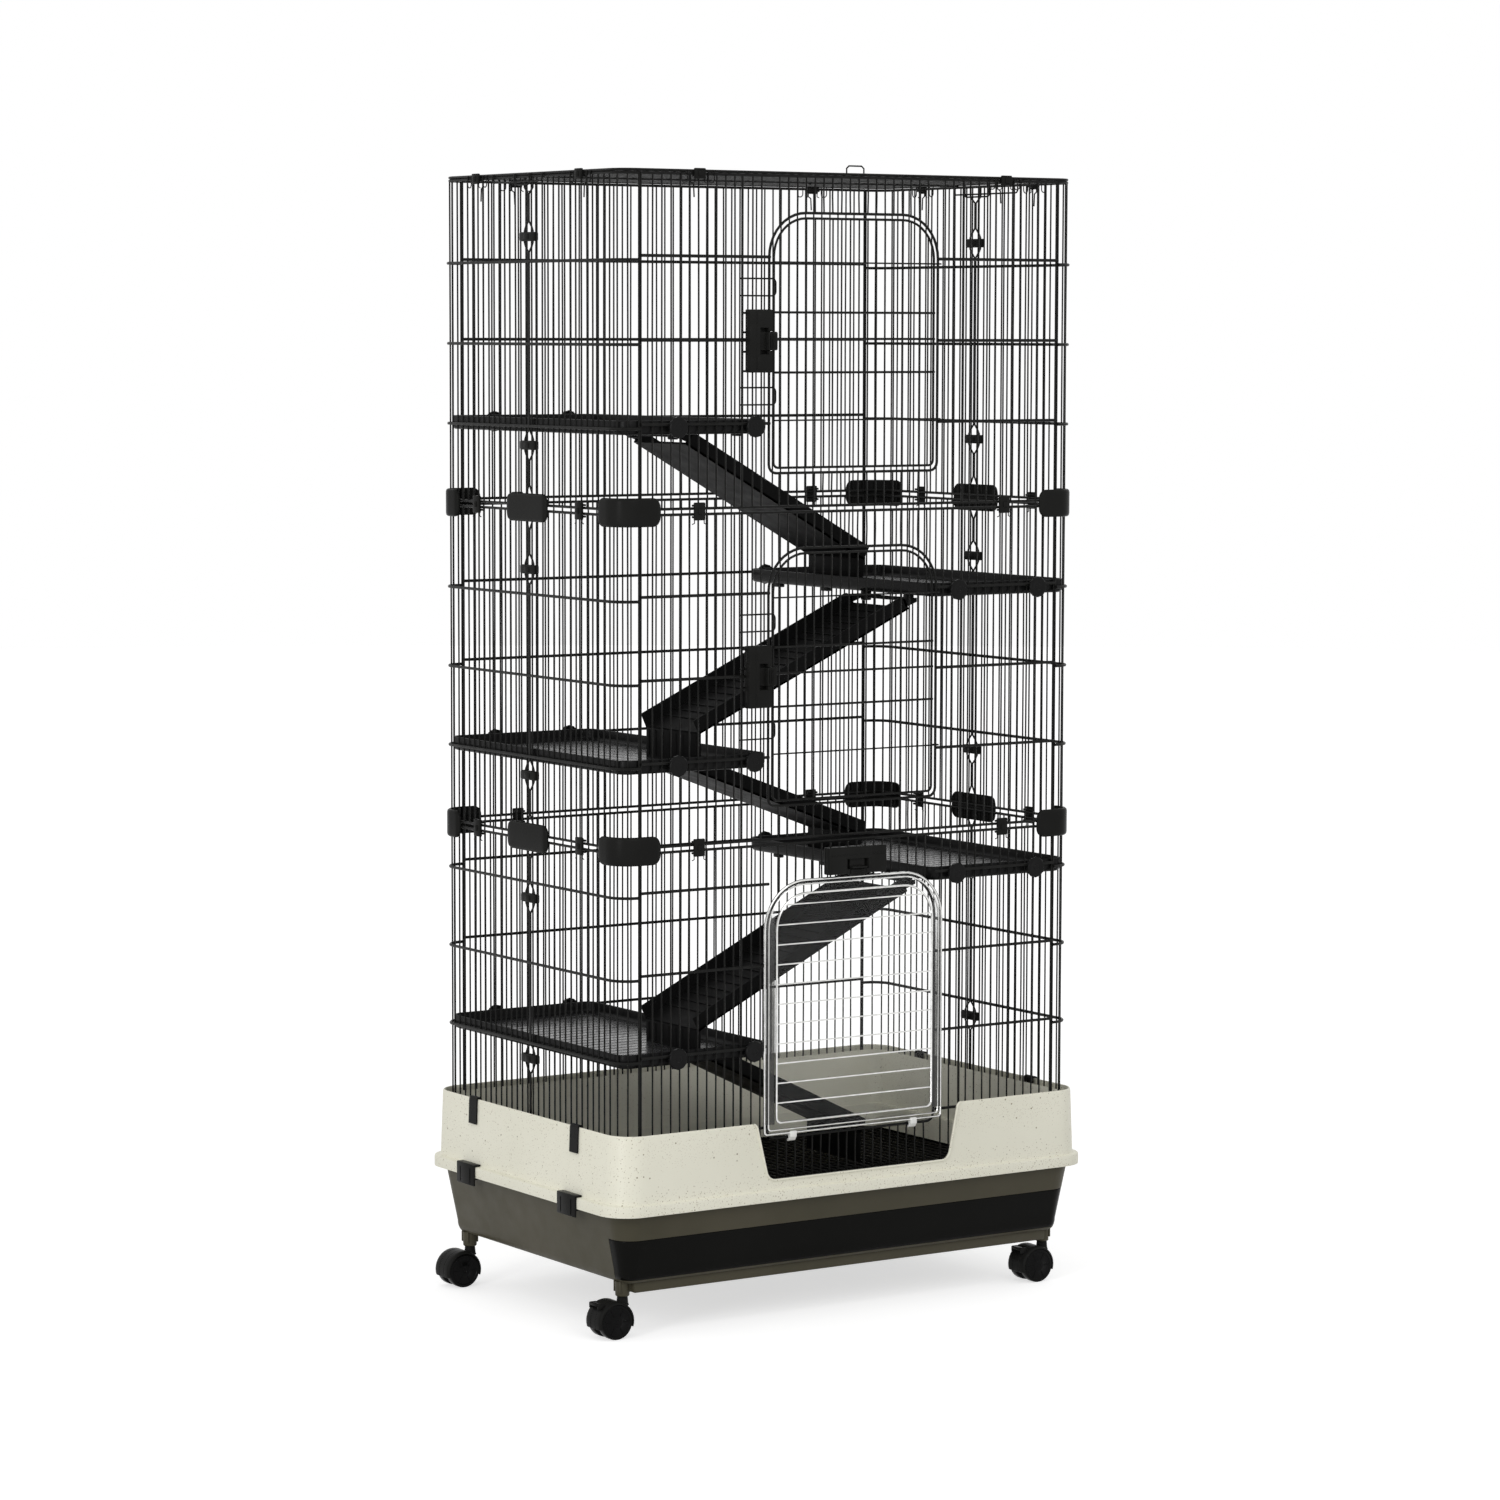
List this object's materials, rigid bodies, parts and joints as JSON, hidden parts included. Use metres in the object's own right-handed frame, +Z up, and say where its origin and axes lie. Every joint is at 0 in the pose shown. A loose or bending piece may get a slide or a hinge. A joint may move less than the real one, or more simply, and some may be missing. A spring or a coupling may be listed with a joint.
{
  "type": "ferret cage",
  "caption": "Tall stacked wire cage for small animals on a plastic tub with a pull-out drawer, with shelves, ramps, front doors and swivel casters.",
  "frame": {"origin": "on the floor under the middle of the cage", "axes": "+Z up, +X to the right of a viewer facing the doors, -Y out of the front"},
  "size_m": [0.8346, 0.544, 1.6455],
  "materials": {
    "black_wire": "black powder coat over steel wire, satin",
    "black_plastic": "moulded black plastic, satin",
    "shelf_plastic": "moulded charcoal plastic, slightly glossy tops",
    "gloss_black": "polished black plastic",
    "taupe_plastic": "moulded dark taupe plastic, satin",
    "pale_plastic": "moulded warm off-white plastic with a fine speckle, satin",
    "wheel_plastic": "hard black plastic wheels",
    "clear_panel": "clear plastic sheet with a plated wire frame"
  },
  "bodies": {
    "cage": {"front_panel_1": "black_wire", "back_panel_1": "black_wire", "left_panel_1": "black_wire", "right_panel_1": "black_wire", "front_panel_2": "black_wire", "back_panel_2": "black_wire", "left_panel_2": "black_wire", "right_panel_2": "black_wire", "front_panel_3": "black_wire", "back_panel_3": "black_wire", "left_panel_3": "black_wire", "right_panel_3": "black_wire", "connector_1_left_middle": "black_plastic", "connector_1_front_left": "black_plastic", "connector_1_back_left": "black_plastic", "connector_1_right_middle": "black_plastic", "connector_1_front_right": "black_plastic", "connector_1_back_right": "black_plastic", "connector_2_left_middle": "black_plastic", "connector_2_front_left": "black_plastic", "connector_2_back_left": "black_plastic", "connector_2_right_middle": "black_plastic", "connector_2_front_right": "black_plastic", "connector_2_back_right": "black_plastic", "roof_panel": "black_wire", "base_tub": "taupe_plastic", "wire_floor": "black_wire", "skirt": "pale_plastic", "shelf_1": "shelf_plastic", "shelf_2": "shelf_plastic", "shelf_3": "shelf_plastic", "shelf_4": "shelf_plastic", "shelf_5": "shelf_plastic"},
    "drawer": {"drawer": "gloss_black"},
    "door_2": {"door_2": "black_wire"},
    "door_3": {"door_3": "black_wire"},
    "drop_door": {"drop_door": "clear_panel"},
    "latch_bolt_2": {"latch_bolt_2": "black_plastic"},
    "latch_bolt_3": {"latch_bolt_3": "black_plastic"},
    "latch_bolt_1": {"latch_bolt_1": "black_plastic"},
    "roof_hatch": {"roof_hatch": "black_wire"},
    "flange_clip_front_left": {"flange_clip_front_left": "black_plastic"},
    "flange_clip_back_left": {"flange_clip_back_left": "black_plastic"},
    "flange_clip_front_right": {"flange_clip_front_right": "black_plastic"},
    "flange_clip_back_right": {"flange_clip_back_right": "black_plastic"},
    "ramp_1": {"ramp_1": "shelf_plastic"},
    "ramp_2": {"ramp_2": "shelf_plastic"},
    "ramp_3": {"ramp_3": "shelf_plastic"},
    "ramp_4": {"ramp_4": "shelf_plastic"},
    "ramp_5": {"ramp_5": "shelf_plastic"},
    "caster_front_left": {"caster_front_left": "black_plastic"},
    "wheels_front_left": {"wheels_front_left": "wheel_plastic"},
    "brake_lever_front_left": {"brake_lever_front_left": "black_plastic"},
    "caster_front_right": {"caster_front_right": "black_plastic"},
    "wheels_front_right": {"wheels_front_right": "wheel_plastic"},
    "brake_lever_front_right": {"brake_lever_front_right": "black_plastic"},
    "caster_back_left": {"caster_back_left": "black_plastic"},
    "wheels_back_left": {"wheels_back_left": "wheel_plastic"},
    "caster_back_right": {"caster_back_right": "black_plastic"},
    "wheels_back_right": {"wheels_back_right": "wheel_plastic"}
  },
  "joints": [
    {"name": "drawer_slide", "type": "slide", "parent": "cage", "child": "drawer", "axis": [0, -1, 0], "range_m": [0, 0.4]},
    {"name": "door_2_hinge", "type": "hinge", "parent": "cage", "child": "door_2", "pos_m": [0.145, -0.245, 0.924], "axis": [0, 0, 1], "range_deg": [0, 110]},
    {"name": "door_3_hinge", "type": "hinge", "parent": "cage", "child": "door_3", "pos_m": [0.145, -0.245, 1.394], "axis": [0, 0, 1], "range_deg": [0, 110]},
    {"name": "drop_door_hinge", "type": "hinge", "parent": "cage", "child": "drop_door", "pos_m": [0, -0.245, 0.264], "axis": [1, 0, 0], "range_deg": [0, 110]},
    {"name": "latch_2_slide", "type": "slide", "parent": "cage", "child": "latch_bolt_2", "axis": [1, 0, 0], "range_m": [-0.006, 0.008]},
    {"name": "latch_3_slide", "type": "slide", "parent": "cage", "child": "latch_bolt_3", "axis": [1, 0, 0], "range_m": [-0.006, 0.008]},
    {"name": "latch_1_slide", "type": "slide", "parent": "cage", "child": "latch_bolt_1", "axis": [0, 0, -1], "range_m": [-0.002, 0.008]},
    {"name": "roof_hatch_hinge", "type": "hinge", "parent": "cage", "child": "roof_hatch", "pos_m": [0.06, 0.045, 1.6283], "axis": [-1, 0, 0], "range_deg": [0, 110]},
    {"name": "flange_clip_front_left_pull", "type": "slide", "parent": "cage", "child": "flange_clip_front_left", "axis": [-1, 0, 0], "range_m": [0, 0.02]},
    {"name": "flange_clip_back_left_pull", "type": "slide", "parent": "cage", "child": "flange_clip_back_left", "axis": [-1, 0, 0], "range_m": [0, 0.02]},
    {"name": "flange_clip_front_right_pull", "type": "slide", "parent": "cage", "child": "flange_clip_front_right", "axis": [1, 0, 0], "range_m": [0, 0.02]},
    {"name": "flange_clip_back_right_pull", "type": "slide", "parent": "cage", "child": "flange_clip_back_right", "axis": [1, 0, 0], "range_m": [0, 0.02]},
    {"name": "ramp_1_hinge", "type": "hinge", "parent": "cage", "child": "ramp_1", "pos_m": [-0.1474, 0.056, 0.3757], "axis": [0, -1, 0], "range_deg": [0, 15]},
    {"name": "ramp_2_hinge", "type": "hinge", "parent": "cage", "child": "ramp_2", "pos_m": [0.1474, -0.119, 0.6077], "axis": [0, 1, 0], "range_deg": [0, 15]},
    {"name": "ramp_3_hinge", "type": "hinge", "parent": "cage", "child": "ramp_3", "pos_m": [-0.1474, 0.056, 0.7877], "axis": [0, -1, 0], "range_deg": [0, 15]},
    {"name": "ramp_4_hinge", "type": "hinge", "parent": "cage", "child": "ramp_4", "pos_m": [0.1474, -0.119, 1.0197], "axis": [0, 1, 0], "range_deg": [0, 15]},
    {"name": "ramp_5_hinge", "type": "hinge", "parent": "cage", "child": "ramp_5", "pos_m": [-0.1474, 0.056, 1.2577], "axis": [0, -1, 0], "range_deg": [0, 15]},
    {"name": "caster_front_left_swivel", "type": "hinge", "parent": "cage", "child": "caster_front_left", "pos_m": [-0.368, -0.214, 0.06], "axis": [0, 0, 1], "continuous": true},
    {"name": "wheels_front_left_spin", "type": "hinge", "parent": "caster_front_left", "child": "wheels_front_left", "pos_m": [-0.388, -0.214, 0.025], "axis": [0, 1, 0], "continuous": true},
    {"name": "brake_lever_front_left_rock", "type": "hinge", "parent": "caster_front_left", "child": "brake_lever_front_left", "pos_m": [-0.412, -0.214, 0.05], "axis": [0, -1, 0], "range_deg": [0, 20]},
    {"name": "caster_front_right_swivel", "type": "hinge", "parent": "cage", "child": "caster_front_right", "pos_m": [0.368, -0.214, 0.06], "axis": [0, 0, 1], "continuous": true},
    {"name": "wheels_front_right_spin", "type": "hinge", "parent": "caster_front_right", "child": "wheels_front_right", "pos_m": [0.348, -0.214, 0.025], "axis": [0, 1, 0], "continuous": true},
    {"name": "brake_lever_front_right_rock", "type": "hinge", "parent": "caster_front_right", "child": "brake_lever_front_right", "pos_m": [0.324, -0.214, 0.05], "axis": [0, -1, 0], "range_deg": [0, 20]},
    {"name": "caster_back_left_swivel", "type": "hinge", "parent": "cage", "child": "caster_back_left", "pos_m": [-0.368, 0.214, 0.06], "axis": [0, 0, 1], "continuous": true},
    {"name": "wheels_back_left_spin", "type": "hinge", "parent": "caster_back_left", "child": "wheels_back_left", "pos_m": [-0.388, 0.214, 0.025], "axis": [0, 1, 0], "continuous": true},
    {"name": "caster_back_right_swivel", "type": "hinge", "parent": "cage", "child": "caster_back_right", "pos_m": [0.368, 0.214, 0.06], "axis": [0, 0, 1], "continuous": true},
    {"name": "wheels_back_right_spin", "type": "hinge", "parent": "caster_back_right", "child": "wheels_back_right", "pos_m": [0.348, 0.214, 0.025], "axis": [0, 1, 0], "continuous": true}
  ]
}
